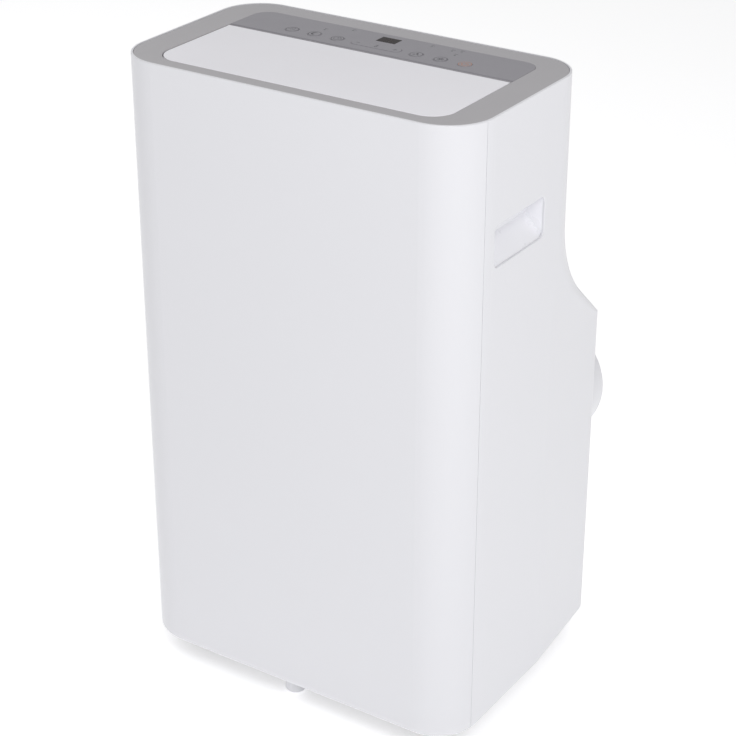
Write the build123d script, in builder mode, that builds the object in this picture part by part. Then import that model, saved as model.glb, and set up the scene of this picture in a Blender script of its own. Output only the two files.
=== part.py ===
from build123d import *
import os
from math import cos, radians, sin, sqrt

# A portable air conditioner: a tall casing on four swivel casters. Cooled air leaves through an
# outlet under a motor-driven flap on top, the control panel lies behind the flap, room air comes in
# through two grilles at the back, and the hot air leaves through a round spigot for a hose.
#
# Millimetres. +Z is up and +X is to the right as seen from the front, which faces -Y. The origin is
# on the floor, under the middle of the whole object.

# ---------------------------------------------------------------- driving sizes: casing
width = 440.0
depth = 336.0
depth_top = 249.0  # depth above the flare of the back
height = 755.0
ground_clearance = 27.5
corner_radius = 54.0  # the two at the front
rear_corner_radius = 50.0  # above the flare
wall = 2.4
rim_rounding = 1.1
bottom_rounding = 8.0
bottom_lip = 13.0
tail_start = 194.0  # how far behind the front face the sides begin to taper
tail_inset = 13.0  # how much each side has come in at the rear face
tail_corner_radius = 14.0
shoulder_height = 436.0  # arris at the foot of the flare
flare_radius = 148.0
flare_steps = 9
seam = 42.0  # how far the front cover wraps round each side
seam_gap = 0.5
tongue = 3.6
tongue_thickness = 1.1

assembly_gap = 0.3  # between pieces that are fixed to each other
running = 0.08  # radial clearance of a pin or shaft that turns
screw_radius = 1.6
screw_head_radius = 3.6
screw_head = 1.6
screw_length = 9.0
screw_x = 132.0
screw_boss = 8.0
screw_fit = 0.02

# ---------------------------------------------------------------- top frame and flap
frame_drop = 0.5  # the frame lies this much below the rim of the casing
frame_plate = 2.6
frame_skirt = 2.0
frame_skirt_depth = 18.0
front_band = 20.0
well_half_width = 179.7
well_length = 139.7
well_corner_radius = 28.0
well_wall = 2.4
well_depth = 22.0
flap_gap = 1.2
flap_drop = 0.2
flap_plate = 2.4
flap_lip = 6.5
flap_lip_thickness = 1.6
flap_ribs = 5
hinge_radius = 4.8
trunnion_radius = 2.4
motor_socket = 10.0  # how far the flap's shaft reaches into its motor
gearbox_width = 17.0
gearbox_half = 13.0
gearbox_height = 32.0
flap_motor_can = 9.0
frame_rounding = 0.6
flap_rounding = 0.8

# ---------------------------------------------------------------- control panel
panel_length = 59.4
panel_corner_radius = 20.0
overlay_thickness = 0.9
overlay_recess = 1.0
shelf = 2.6
key_radius = 7.8
key_gap = 0.35
key_proud = 0.35
key_travel = 0.6
key_flange = 1.4
key_flange_reach = 1.2
key_rest = 0.1
key_rounding = 0.3
key_foot_radius = 2.0
key_row = 17.2  # behind the front edge of the panel
key_names = ["key_swing", "key_sleep", "key_timer", "key_fan_speed", "key_mode", "key_power"]
key_places = [-110.5, -80.5, -50.5, 50.5, 80.5, 110.5]
rocker_length = 62.0
rocker_width = 13.0
rocker_pin_radius = 1.2
rocker_lug = 2.0
rocker_lug_half = 3.2
rocker_switch_x = 19.0
display_length = 24.0
display_width = 16.0
display_row = 42.0
lens_radius = 1.2
lens_lift = 3.0
lens_proud = 0.1
lens_places = [(-80.0, 36.0), (-52.0, 50.0), (50.0, 49.0), (76.0, 48.0), (86.0, 37.0), (86.0, 51.0)]
board_drop = 15.0
board_thickness = 1.6
board_half_length = 150.0
switch_size = 6.0
switch_height = 4.3
post_radius = 3.0
panel_edge_gap = 0.2

# ---------------------------------------------------------------- outlet duct and vanes
duct_half_width = 168.0
duct_front = 27.0
duct_length = 122.0
duct_wall = 2.0
duct_straight = 66.0
duct_taper = 34.0
duct_flange = 2.0
vane_count = 6
vane_pitch = 54.0
vane_height = 34.0
vane_thickness = 2.0
vane_drop = 32.0  # vane pivots below the mouth of the duct
vane_end_gap = 2.0
vane_pin_radius = 2.0
crank_drop = 13.0
crank_pin_radius = 1.5
link_thickness = 3.4
link_half_height = 4.0
link_gap = 1.0
vane_motor_radius = 12.0
vane_motor_length = 18.0

# ---------------------------------------------------------------- handles
handle_length = 104.0
handle_opening = 46.0
handle_middle = 112.0  # behind the front face
handle_height = 614.0
handle_depth = 24.0
handle_undercut = 12.0
handle_corner_radius = 8.0
handle_ramp = 22.0
handle_rim = 1.0
cup_wall = 2.0
cup_flange = 7.0

# ---------------------------------------------------------------- grilles and filter
upper_grille_length = 330.0
upper_grille_rise = 128.0
upper_grille_height = 668.0
lower_grille_length = 176.0
lower_grille_rise = 316.0
lower_grille_x = -96.0
lower_grille_height = 252.0
grille_thickness = 3.0
grille_gap = 0.4
grille_corner_radius = 6.0
grille_border = 10.0
slot_rise = 5.6
slot_pitch = 9.0
slot_columns_upper = 5
slot_columns_lower = 3
rib_width = 5.0
seat_reach = 4.0
seat_thickness = 1.6
grille_edge = 0.5
filter_thickness = 4.0
filter_mesh = 0.6
filter_border = 6.0
filter_columns = 6
filter_rows = 2

# ---------------------------------------------------------------- exhaust, drains, cord
spigot_x = 111.0
spigot_height = 304.5
spigot_radius = 78.0
spigot_wall = 3.0
spigot_length = 55.0
spigot_flange = 4.0
spigot_flange_thickness = 3.0
spigot_lug_radius = 6.0
spigot_lug_offset = 2.5  # from the rim of the flange to the screws
spigot_neck = 12.0  # how far the spigot reaches into the casing
guard_bar = 2.4
guard_bars = 2  # each side of the middle one
guard_pitch = 25.0
drain_x = 22.0
drain_upper_height = 414.0
drain_lower_height = 78.0
spout_radius = 9.0
spout_bore = 6.0
spout_length = 11.0
spout_inside = 14.0
cap_radius = 8.0
cap_head = 4.0
cap_plug = 8.0
gland_x = 176.0
gland_height = 92.0
gland_radius = 8.0
gland_nose = 6.5
gland_flange = 2.5
gland_length = 12.0
gland_inside = 8.0
cord_radius = 3.6

# ---------------------------------------------------------------- base, casters and foot
pan_gap = 1.6  # between the pan and the inside of the casing
pan_wall = 3.0
pan_floor = 44.0
pan_rim = 66.0
caster_x = 160.0
caster_set_in = 62.0  # from the front and the rear face
wheel_radius = 17.0
wheel_width = 14.0
wheel_side_gap = 0.8
wheel_rounding = 2.5
wheel_tread = 4.0
wheel_dish = 2.5
caster_trail = 11.0
axle_radius = 2.5
fork_plate = 3.0
fork_height = 5.0
stem_radius = 4.0
stem_length = 18.0
boss_wall = 5.0
caster_gap = 0.6
foot_x = -14.0
foot_set_in = 29.0
foot_radius = 12.5
foot_lift = 2.0

# ---------------------------------------------------------------- insides
deck_height = 443.0
deck_rim = 22.0
deck_length = 296.0
compressor_x = -116.0
compressor_y = 130.0
compressor_radius = 58.0
compressor_top = 292.0
compressor_feet = 72.0
grommet_radius = 11.0
grommet_rise = 12.0
stud_radius = 4.0
foot_plate = 4.0
compressor_dome = 24.0
accumulator_radius = 17.0
accumulator_rise = 110.0
coil_tube_radius = 3.5
coil_tube_pitch = 21.0
coil_lift = 12.0
end_plate = 1.5
evaporator_left = -186.0
evaporator_right = 150.0
evaporator_front = 198.0
evaporator_thickness = 38.0
evaporator_rise = 236.0
condenser_left = -192.0
condenser_right = 22.0
condenser_front = 284.0
condenser_thickness = 36.0
condenser_rise = 346.0
evaporator_wheel_radius = 62.0
evaporator_wheel_width = 56.0
evaporator_volute_front = 66.0
evaporator_blower_height = 558.0
condenser_wheel_radius = 60.0
condenser_wheel_width = 70.0
condenser_volute_left = 66.0
condenser_blower_y = 196.0
wheel_gap = 9.0  # between a wheel and the sides of its volute
volute_wall = 2.0
volute_growth = 8.0  # the scroll widens by this each quarter turn
outlet_width = 84.0
blade_count = 26
blade_depth = 12.0
blade_thickness = 1.4
blade_angle = 32.0
motor_rounding = 5.0
shaft_radius = 4.0
motor_radius = 36.0
motor_length = 36.0
box_left = -196.0
box_right = -24.0
box_front = 14.0
box_depth = 54.0
box_floor = 322.0
box_rise = 104.0
box_wall = 2.0
box_tab = 6.0
board_posts = (-180.0, -40.0)
board_lift = 6.0
pipe_radius = 4.0
pipe_bend = 11.0
pipe_y = 262.0  # the pipes rise between the coils, this far behind the front face
liquid_x = -150.0
suction_x = -172.0

# ---------------------------------------------------------------- worked out from those
front = -(depth + spigot_length) / 2
rear = front + depth
rear_top = front + depth_top
half_width = width / 2
flare_height = shoulder_height + depth - depth_top + flare_radius * (sqrt(2) - 1)
frame_top = height - frame_drop
frame_inset = wall + assembly_gap
well_front = front + front_band
well_rear = well_front + well_length
flap_top = frame_top - flap_drop
hinge_y = well_rear - flap_gap - hinge_radius
hinge_z = flap_top - hinge_radius
flap_half_width = well_half_width - flap_gap
panel_front = well_rear + well_wall
panel_rear = panel_front + panel_length
shelf_top = frame_top - overlay_recess
shelf_bottom = shelf_top - shelf
overlay_top = shelf_top + overlay_thickness
key_top = overlay_top + key_proud
key_y = panel_front + key_row
display_y = panel_front + display_row
board_top = frame_top - board_drop
rocker_pivot = shelf_bottom - 3.2
duct_top = frame_top - well_depth - assembly_gap
duct_bottom = duct_top - duct_straight - duct_taper
duct_y = front + duct_front + duct_length / 2
vane_z = duct_top - vane_drop
vane_front = front + duct_front + duct_wall + vane_end_gap
vane_rear = vane_front + duct_length - 2 * duct_wall - 2 * vane_end_gap - link_thickness - 2 * link_gap
link_front = vane_rear + link_gap
handle_y = front + handle_middle
stem_foot = 2 * wheel_radius + caster_gap + fork_height
scroll = [evaporator_wheel_radius + volute_growth * (0.8 + turn) for turn in range(4)]
condenser_scroll = [condenser_wheel_radius + volute_growth * (0.8 + turn) for turn in range(4)]
condenser_blower_z = spigot_height + outlet_width / 2 - condenser_scroll[3]
evaporator_blower_x = scroll[3] - outlet_width / 2
evaporator_width = evaporator_wheel_width + 2 * wheel_gap + 2 * volute_wall
condenser_width = condenser_wheel_width + 2 * wheel_gap + 2 * volute_wall

os.makedirs("parts", exist_ok=True)


def save(piece, label):
    """Names a finished piece and writes it as its own node."""
    piece.label = label
    export_step(piece, f"parts/{label}.step")


def across(axis, position):
    """The plane square to an axis at a position, its own x and y being the other two axes."""
    if axis == "X":
        return Plane.YZ.offset(position)
    if axis == "Y":
        return Plane.XZ.offset(-position)
    return Plane.XY.offset(position)


def run(axis, start, end):
    """The extrusion length from one position on an axis to another."""
    return start - end if axis == "Y" else end - start


def rod(axis, place, radius, start, end, mode=Mode.ADD):
    """A cylinder along an axis, between two positions."""
    with BuildSketch(across(axis, start)) as profile:
        with Locations(place):
            Circle(radius)
    extrude(profile.sketch, amount=run(axis, start, end), mode=mode)


def slab(axis, place, size, start, end, rounding=0.0, mode=Mode.ADD):
    """A rectangular block along an axis, between two positions, its long edges rounded."""
    with BuildSketch(across(axis, start)) as profile:
        with Locations(place):
            Rectangle(*size)
        if rounding > 0:
            fillet(profile.vertices(), rounding)
    extrude(profile.sketch, amount=run(axis, start, end), mode=mode)


def block(x, y, z, mode=Mode.ADD):
    """A box between two positions on each axis."""
    slab("Z", (sum(x) / 2, sum(y) / 2), (x[1] - x[0], y[1] - y[0]), z[0], z[1], mode=mode)


# ---------------------------------------------------------------- casing form
def casing_form(inset, bottom, top, rounding=0.0):
    """The solid form of the casing, set in all round, between two heights, its foot rounded."""
    arc = flare_radius + inset
    levels = [(bottom, depth), (shoulder_height - inset * (sqrt(2) - 1), depth)]
    for step in range(flare_steps, -1, -1):
        angle = radians(45 * step / flare_steps)
        levels.append((flare_height - arc * sin(angle), depth_top + arc * (1 - cos(angle))))
    levels.append((top, depth_top))
    with BuildPart() as form:
        for z, back in levels:
            reach = (back - depth_top) / (depth - depth_top)
            side = half_width - inset
            tail = side - 0.5 - reach * (tail_inset - 0.5)
            back_corner = rear_corner_radius + reach * (tail_corner_radius - rear_corner_radius) - inset
            with BuildSketch(across("Z", z)) as plan:
                with BuildLine():
                    Polyline(
                        (-side, front + inset),
                        (side, front + inset),
                        (side, front + tail_start),
                        (tail, front + back - inset),
                        (-tail, front + back - inset),
                        (-side, front + tail_start),
                        close=True,
                    )
                make_face()
                fillet(plan.vertices().group_by(Axis.Y)[0], corner_radius - inset)
                fillet(plan.vertices().group_by(Axis.Y)[-1], back_corner)
        loft(ruled=True)
        if rounding > 0:
            fillet(form.edges().group_by(Axis.Z)[0], rounding)
    return form.part


def casing_skin(inset, top):
    """The casing's form offset inwards, its foot and the rounding there with it."""
    return casing_form(inset, ground_clearance + inset, top, bottom_rounding - inset)


def level_slice(inset, low, high):
    """The part of the casing's form between two heights, set in all round."""
    with BuildPart() as piece:
        add(casing_form(inset, ground_clearance, height))
        block((-width, width), (front - depth, rear + depth), (low, high), mode=Mode.INTERSECT)
    return piece.part


# places on the back that several pieces share: x and height, and for the screws the face too
spout_places = [(drain_x, drain_upper_height), (drain_x, drain_lower_height)]
screw_low = (pan_floor + pan_wall + pan_rim) / 2
screw_high = frame_top - frame_skirt_depth / 2
screw_places = [(i * screw_x, screw_high, rear_top) for i in (-1, 1)]
screw_places += [(i * screw_x, screw_low, rear) for i in (-1, 1)]
lug_reach = (spigot_radius + spigot_flange + spigot_lug_offset) / sqrt(2)
spigot_lugs = [
    (spigot_x + i * lug_reach, spigot_height + j * lug_reach) for i in (-1, 1) for j in (-1, 1)
]

inner_form = casing_skin(wall, height + 1)

with BuildPart() as shell:
    add(casing_skin(0, height))
    fillet(shell.edges().group_by(Axis.Z)[-1], rim_rounding)
    add(inner_form, mode=Mode.SUBTRACT)
    add(level_slice(bottom_lip, ground_clearance, ground_clearance + 2 * wall), mode=Mode.SUBTRACT)

groove_top = height - rim_rounding - wall
tongue_form = casing_skin(wall - tongue_thickness, groove_top - assembly_gap)
groove_form = casing_skin(wall - tongue_thickness - assembly_gap / 2, groove_top)
seam_front = front + seam - seam_gap / 2
seam_rear = front + seam + seam_gap / 2

with BuildPart() as groove:
    add(groove_form)
    block((-width, width), (seam_rear - tongue - assembly_gap, seam_rear), (0, height + 1), mode=Mode.INTERSECT)

with BuildPart() as front_cover:
    add(shell.part)
    block((-width, width), (front - 1, seam_front), (0, height + 1), mode=Mode.INTERSECT)
    add(groove.part, mode=Mode.SUBTRACT)
save(front_cover.part, "front_cover")

with BuildPart() as tongue_band:
    add(tongue_form)
    block((-width, width), (seam_rear - tongue, seam_rear + tongue), (0, height + 1), mode=Mode.INTERSECT)
    add(inner_form, mode=Mode.SUBTRACT)
    add(level_slice(bottom_lip, ground_clearance, ground_clearance + 2 * wall), mode=Mode.SUBTRACT)


def grille_seat(x, z, size, face):
    """Thickens the wall round a grille, and cuts the pocket for it and the opening behind it."""
    seat = face - grille_thickness - seat_thickness
    around = (size[0] + 2 * seat_reach, size[1] + 2 * seat_reach)
    pocket = (size[0] + 2 * grille_gap, size[1] + 2 * grille_gap)
    through = (size[0] - 2 * seat_reach, size[1] - 2 * seat_reach)
    slab("Y", (x, z), around, seat, face - wall / 2, grille_corner_radius)
    slab("Y", (x, z), pocket, face - grille_thickness, face + 1, grille_corner_radius, mode=Mode.SUBTRACT)
    slab("Y", (x, z), through, seat - 1, face + 1, grille_corner_radius / 2, mode=Mode.SUBTRACT)


with BuildPart() as rear_casing:
    add(shell.part)
    block((-width, width), (seam_rear, rear + 1), (0, height + 1), mode=Mode.INTERSECT)
    add(tongue_band.part)
    grille_seat(0, upper_grille_height, (upper_grille_length, upper_grille_rise), rear_top)
    grille_seat(lower_grille_x, lower_grille_height, (lower_grille_length, lower_grille_rise), rear)
    for place in spout_places:
        rod("Y", place, spout_radius, rear - spout_inside, rear + spout_length)
        rod("Y", place, spout_bore, rear - spout_inside - 1, rear + spout_length + 1, mode=Mode.SUBTRACT)
    rod("Y", (spigot_x, spigot_height), spigot_radius + assembly_gap, rear - 5, rear + 1, mode=Mode.SUBTRACT)
    rod("Y", (gland_x, gland_height), gland_radius + assembly_gap, rear - 5, rear + 1, mode=Mode.SUBTRACT)
    for x, z, face in screw_places:
        rod("Y", (x, z), screw_radius + assembly_gap, face - 5, face + 1, mode=Mode.SUBTRACT)
    for place in spigot_lugs:
        rod("Y", place, screw_radius + screw_fit, rear - 5, rear + 1, mode=Mode.SUBTRACT)
    slab(
        "X",
        (handle_y, handle_height),
        (handle_length, handle_opening),
        -half_width - 1,
        half_width + 1,
        handle_corner_radius,
        mode=Mode.SUBTRACT,
    )
    handle_rims = rear_casing.edges().filter_by(
        lambda edge: abs(edge.center().X) > half_width - 0.01
        and abs(edge.center().Y - handle_y) < handle_length / 2 + 1
        and abs(edge.center().Z - handle_height) < handle_opening / 2 + 1
    )
    fillet(handle_rims, handle_rim)
save(rear_casing.part, "rear_casing")


# ---------------------------------------------------------------- handles
def handle_cup(side):
    """A cup behind the opening in one side: a ramp up from the lower edge, and room for fingers."""
    mouth = half_width - wall - assembly_gap
    back = half_width - handle_depth
    low = handle_height - handle_opening / 2
    high = handle_height + handle_opening / 2
    middle = handle_height + handle_undercut / 2
    with BuildPart() as cup:
        slab(
            "X",
            (handle_y, middle),
            (handle_length + 2 * cup_wall, handle_opening + handle_undercut + 2 * cup_wall),
            side * mouth,
            side * (back - cup_wall),
            cup_wall,
        )
        slab(
            "X",
            (handle_y, middle),
            (handle_length + 2 * cup_flange, handle_opening + handle_undercut + 2 * cup_flange),
            side * mouth,
            side * (mouth - cup_wall),
            handle_corner_radius,
        )
        with BuildSketch(Plane.XZ.offset(-(handle_y - handle_length / 2))) as hollow:
            with BuildLine():
                Polyline(
                    (side * (mouth + 1), low),
                    (side * mouth, low),
                    (side * back, low + handle_ramp),
                    (side * back, high + handle_undercut),
                    (side * (mouth - cup_wall), high + handle_undercut),
                    (side * (mouth - cup_wall), high),
                    (side * (mouth + 1), high),
                    close=True,
                )
            make_face()
        extrude(hollow.sketch, amount=-handle_length, mode=Mode.SUBTRACT)
    return cup.part


save(handle_cup(-1), "handle_cup_left")
save(handle_cup(1), "handle_cup_right")


# ---------------------------------------------------------------- grilles and filter
def grille(x, z, size, face, columns):
    """A flat grille: rows of slots between a border and upright ribs."""
    inner = (size[0] - 2 * grille_border, size[1] - 2 * grille_border)
    slot = (inner[0] + rib_width) / columns - rib_width
    rows = int((inner[1] + slot_pitch - slot_rise) / slot_pitch)
    with BuildPart() as plate:
        slab("Y", (x, z), size, face - grille_thickness, face, grille_corner_radius)
        with BuildSketch(across("Y", face - grille_thickness)) as slots:
            with Locations((x, z)):
                with GridLocations(slot + rib_width, slot_pitch, columns, rows):
                    Rectangle(slot, slot_rise)
        extrude(slots.sketch, amount=-grille_thickness, mode=Mode.SUBTRACT)
        chamfer(plate.faces().sort_by(Axis.Y)[-1].outer_wire().edges(), grille_edge)
    return plate.part


upper_size = (upper_grille_length, upper_grille_rise)
lower_size = (lower_grille_length, lower_grille_rise)
save(grille(0, upper_grille_height, upper_size, rear_top, slot_columns_upper), "upper_grille")
save(grille(lower_grille_x, lower_grille_height, lower_size, rear, slot_columns_lower), "lower_grille")

filter_face = rear_top - grille_thickness
filter_size = (
    upper_grille_length - 2 * seat_reach - 2 * grille_gap,
    upper_grille_rise - 2 * seat_reach - 2 * grille_gap,
)
with BuildPart() as upper_filter:
    corner = grille_corner_radius / 2
    slab("Y", (0, upper_grille_height), filter_size, filter_face - filter_thickness, filter_face, corner)
    pane = (
        (filter_size[0] - filter_border) / filter_columns,
        (filter_size[1] - filter_border) / filter_rows,
    )
    with BuildSketch(across("Y", filter_face - filter_thickness)) as panes:
        with Locations((0, upper_grille_height)):
            with GridLocations(*pane, filter_columns, filter_rows):
                Rectangle(pane[0] - filter_border, pane[1] - filter_border)
    extrude(panes.sketch, amount=-filter_thickness, mode=Mode.SUBTRACT)
    slab("Y", (0, upper_grille_height), filter_size, filter_face - filter_mesh, filter_face, corner)
save(upper_filter.part, "upper_filter")

# ---------------------------------------------------------------- exhaust, drains, cord gland, screws
with BuildPart() as exhaust_collar:
    rod("Y", (spigot_x, spigot_height), spigot_radius, rear - spigot_neck, rear + spigot_length)
    rod("Y", (spigot_x, spigot_height), spigot_radius + spigot_flange, rear, rear + spigot_flange_thickness)
    for place in spigot_lugs:
        rod("Y", place, spigot_lug_radius, rear, rear + spigot_flange_thickness)
    rod(
        "Y",
        (spigot_x, spigot_height),
        spigot_radius - spigot_wall,
        rear - spigot_neck - 1,
        rear + spigot_length + 1,
        mode=Mode.SUBTRACT,
    )
    bar = 2 * (spigot_radius - spigot_wall / 2)
    for step in range(-guard_bars, guard_bars + 1):
        offset_here = step * guard_pitch
        chord = 2 * sqrt((bar / 2) ** 2 - offset_here**2)
        guard = (rear - spigot_neck, rear - spigot_neck + guard_bar)
        slab("Y", (spigot_x + offset_here, spigot_height), (guard_bar, chord), *guard)
        slab("Y", (spigot_x, spigot_height + offset_here), (chord, guard_bar), *guard)
    for place in spigot_lugs:
        rod("Y", place, screw_radius + assembly_gap, rear - 1, rear + spigot_length, mode=Mode.SUBTRACT)
    fillet(exhaust_collar.edges().group_by(Axis.Y)[-1], spigot_wall / 3)
save(exhaust_collar.part, "exhaust_collar")

for name, place in zip(["drain_cap_upper", "drain_cap_lower"], spout_places):
    end = rear + spout_length
    with BuildPart() as drain_cap:
        rod("Y", place, spout_bore - assembly_gap, end - cap_plug, end)
        rod("Y", place, cap_radius, end, end + cap_head)
        fillet(drain_cap.edges().group_by(Axis.Y)[-1], cap_head / 4)
    save(drain_cap.part, name)

with BuildPart() as cord_gland:
    rod("Y", (gland_x, gland_height), gland_radius, rear - gland_inside, rear + gland_flange)
    rod("Y", (gland_x, gland_height), gland_radius + gland_flange, rear, rear + gland_flange)
    rod("Y", (gland_x, gland_height), gland_nose, rear, rear + gland_length)
    fillet(cord_gland.edges().group_by(Axis.Y)[-1], 1)
    rod("Y", (gland_x, gland_height), cord_radius, rear - 20, rear + 20, mode=Mode.SUBTRACT)
save(cord_gland.part, "cord_gland")

with BuildPart() as casing_screws:
    lug_faces = [(x, z, rear + spigot_flange_thickness) for x, z in spigot_lugs]
    for x, z, face in screw_places + lug_faces:
        rod("Y", (x, z), screw_radius, face - screw_length, face)
        rod("Y", (x, z), screw_head_radius, face, face + screw_head)
        slab("Y", (x, z), (1.0, screw_head_radius), face + screw_head / 2, face + screw_head + 1, mode=Mode.SUBTRACT)
        slab("Y", (x, z), (screw_head_radius, 1.0), face + screw_head / 2, face + screw_head + 1, mode=Mode.SUBTRACT)
save(casing_screws.part, "casing_screws")


# ---------------------------------------------------------------- top frame
def tray(half, y, z, front_rounding=0.0, rear_rounding=0.0, mode=Mode.ADD):
    """A block across the object whose front and rear corners have roundings of their own."""
    with BuildSketch(across("Z", z[0])) as plan:
        with Locations((0, sum(y) / 2)):
            Rectangle(2 * half, y[1] - y[0])
        if front_rounding > 0:
            fillet(plan.vertices().group_by(Axis.Y)[0], front_rounding)
        if rear_rounding > 0:
            fillet(plan.vertices().group_by(Axis.Y)[-1], rear_rounding)
    extrude(plan.sketch, amount=z[1] - z[0], mode=mode)


def panel_holes(margin, low, high):
    """Cuts the holes for the keys, the rocker, the display and the lenses between two heights."""
    key_hole = key_radius + key_gap
    length = high - low
    with BuildSketch(across("Z", low)) as holes:
        with Locations((0, key_y)):
            Rectangle(rocker_length + 2 * key_gap, rocker_width + 2 * key_gap)
        fillet(holes.vertices(), rocker_width / 2 - 0.1)
        with Locations(*[(x, key_y) for x in key_places]):
            Circle(key_hole)
        with Locations((0, display_y)):
            Rectangle(display_length + 2 * margin, display_width + 2 * margin)
        with Locations(*[(x, panel_front + y) for x, y in lens_places]):
            Circle(lens_radius + margin)
    extrude(holes.sketch, amount=length, mode=Mode.SUBTRACT)


with BuildPart() as top_frame:
    add(level_slice(frame_inset, frame_top - frame_skirt_depth, frame_top))
    under = (frame_top - frame_skirt_depth, frame_top - frame_plate)
    add(level_slice(frame_inset + frame_skirt, *under), mode=Mode.SUBTRACT)
    tray(
        well_half_width + well_wall,
        (well_front - well_wall, panel_rear + well_wall),
        (frame_top - well_depth, frame_top - frame_plate / 2),
        well_corner_radius + well_wall,
        panel_corner_radius + well_wall,
    )
    for i in (-1, 1):
        block(
            (i * screw_x - screw_boss / 2, i * screw_x + screw_boss / 2),
            (rear_top - frame_inset - screw_length, rear_top - frame_inset - frame_skirt / 2),
            (screw_high - screw_boss / 2, frame_top - frame_plate / 2),
        )
    through = (frame_top - well_depth - 1, frame_top + 1)
    tray(well_half_width, (well_front, well_rear), through, well_corner_radius, 0, mode=Mode.SUBTRACT)
    tray(
        well_half_width,
        (panel_front, panel_rear),
        (frame_top - well_depth - 1, shelf_bottom),
        0,
        panel_corner_radius,
        mode=Mode.SUBTRACT,
    )
    tray(
        well_half_width,
        (well_rear, panel_rear),
        (shelf_top, frame_top + 1),
        0,
        panel_corner_radius,
        mode=Mode.SUBTRACT,
    )
    panel_holes(assembly_gap, shelf_bottom - 1, shelf_top + 1)
    for side in (-1, 1):
        lug = key_y + side * (rocker_width / 2 + key_gap + rocker_lug / 2)
        block(
            (-rocker_lug_half, rocker_lug_half),
            (lug - rocker_lug / 2, lug + rocker_lug / 2),
            (rocker_pivot - rocker_lug_half, shelf_bottom),
        )
        for x in (-board_half_length + post_radius, board_half_length - post_radius):
            y = (panel_front + panel_rear) / 2 + side * (panel_length / 2 - 2 * post_radius)
            rod("Z", (x, y), post_radius, board_top, shelf_bottom)
    pin_end = rocker_width / 2 + key_gap + rocker_lug + 1
    pin_hole = rocker_pin_radius + running
    rod("Y", (0, rocker_pivot), pin_hole, key_y - pin_end, key_y + pin_end, mode=Mode.SUBTRACT)
    side_reach = well_half_width + well_wall + 1
    rod("X", (hinge_y, hinge_z), trunnion_radius + running, -side_reach, side_reach, mode=Mode.SUBTRACT)
    for x, z, face in screw_places[:2]:
        rod("Y", (x, z), screw_radius + screw_fit, face - 20, face + 1, mode=Mode.SUBTRACT)
    fillet(top_frame.edges().group_by(Axis.Z)[-1], frame_rounding)
save(top_frame.part, "top_frame")

# ---------------------------------------------------------------- flap and its motor
flap_front = well_front + flap_gap
flap_corner = well_corner_radius - flap_gap
lip_bottom = flap_top - flap_lip
lip_rear = hinge_y - hinge_radius - flap_gap
with BuildPart() as flap:
    tray(flap_half_width, (flap_front, lip_rear), (lip_bottom, flap_top - flap_plate / 2), flap_corner)
    tray(
        flap_half_width - flap_lip_thickness,
        (flap_front + flap_lip_thickness, lip_rear + 1),
        (lip_bottom - 1, flap_top - flap_plate),
        flap_corner - flap_lip_thickness,
        mode=Mode.SUBTRACT,
    )
    tray(flap_half_width, (flap_front, hinge_y), (flap_top - flap_plate, flap_top), flap_corner)
    fillet(flap.edges().group_by(Axis.Z)[-1], flap_rounding)
    rib_pitch = 2 * flap_half_width / (flap_ribs + 1)
    for step in range(1, flap_ribs + 1):
        x = -flap_half_width + step * rib_pitch
        block(
            (x - flap_lip_thickness / 2, x + flap_lip_thickness / 2),
            (flap_front + flap_lip_thickness / 2, lip_rear),
            (lip_bottom + 1, flap_top - flap_plate / 2),
        )
    rod("X", (hinge_y, hinge_z), hinge_radius, -flap_half_width, flap_half_width)
    well_side = well_half_width + well_wall
    rod("X", (hinge_y, hinge_z), trunnion_radius, -well_side + assembly_gap, well_side + motor_socket)
save(flap.part, "flap")

with BuildPart() as flap_motor:
    inner_face = well_half_width + well_wall + assembly_gap
    gearbox = (inner_face, inner_face + gearbox_width)
    gearbox_top = frame_top - frame_plate - assembly_gap
    block(
        gearbox,
        (hinge_y - gearbox_half, hinge_y + gearbox_half),
        (gearbox_top - gearbox_height, gearbox_top),
    )
    fillet(flap_motor.edges().filter_by(Axis.X), 2)
    can = gearbox_top - gearbox_height + gearbox_half
    rod("X", (hinge_y, can), gearbox_half - 1, gearbox[1], gearbox[1] + flap_motor_can)
    socket = inner_face + motor_socket + 1
    rod("X", (hinge_y, hinge_z), trunnion_radius + running, inner_face - 1, socket, mode=Mode.SUBTRACT)
save(flap_motor.part, "flap_motor")

# ---------------------------------------------------------------- control panel
with BuildPart() as control_overlay:
    tray(
        well_half_width - panel_edge_gap,
        (well_rear + panel_edge_gap, panel_rear - panel_edge_gap),
        (shelf_top, overlay_top),
        0,
        panel_corner_radius - panel_edge_gap,
    )
    panel_holes(assembly_gap / 2, shelf_top - 1, overlay_top + 1)
save(control_overlay.part, "control_overlay")

with BuildPart() as display_window:
    slab("Z", (0, display_y), (display_length, display_width), shelf_bottom, overlay_top)
save(display_window.part, "display_window")

with BuildPart() as indicator_lenses:
    for x, y in lens_places:
        rod("Z", (x, panel_front + y), lens_radius, board_top + lens_lift, overlay_top + lens_proud)
save(indicator_lenses.part, "indicator_lenses")

key_stop = board_top + switch_height + key_travel + key_rest
for name, x in zip(key_names, key_places):
    with BuildPart() as key:
        rod("Z", (x, key_y), key_radius, shelf_bottom - key_rest - key_flange, key_top)
        fillet(key.edges().group_by(Axis.Z)[-1], key_rounding)
        flange_top = shelf_bottom - key_rest
        rod("Z", (x, key_y), key_radius + key_flange_reach, flange_top - key_flange, flange_top)
        rod("Z", (x, key_y), key_foot_radius, key_stop, flange_top)
    save(key.part, name)

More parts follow.
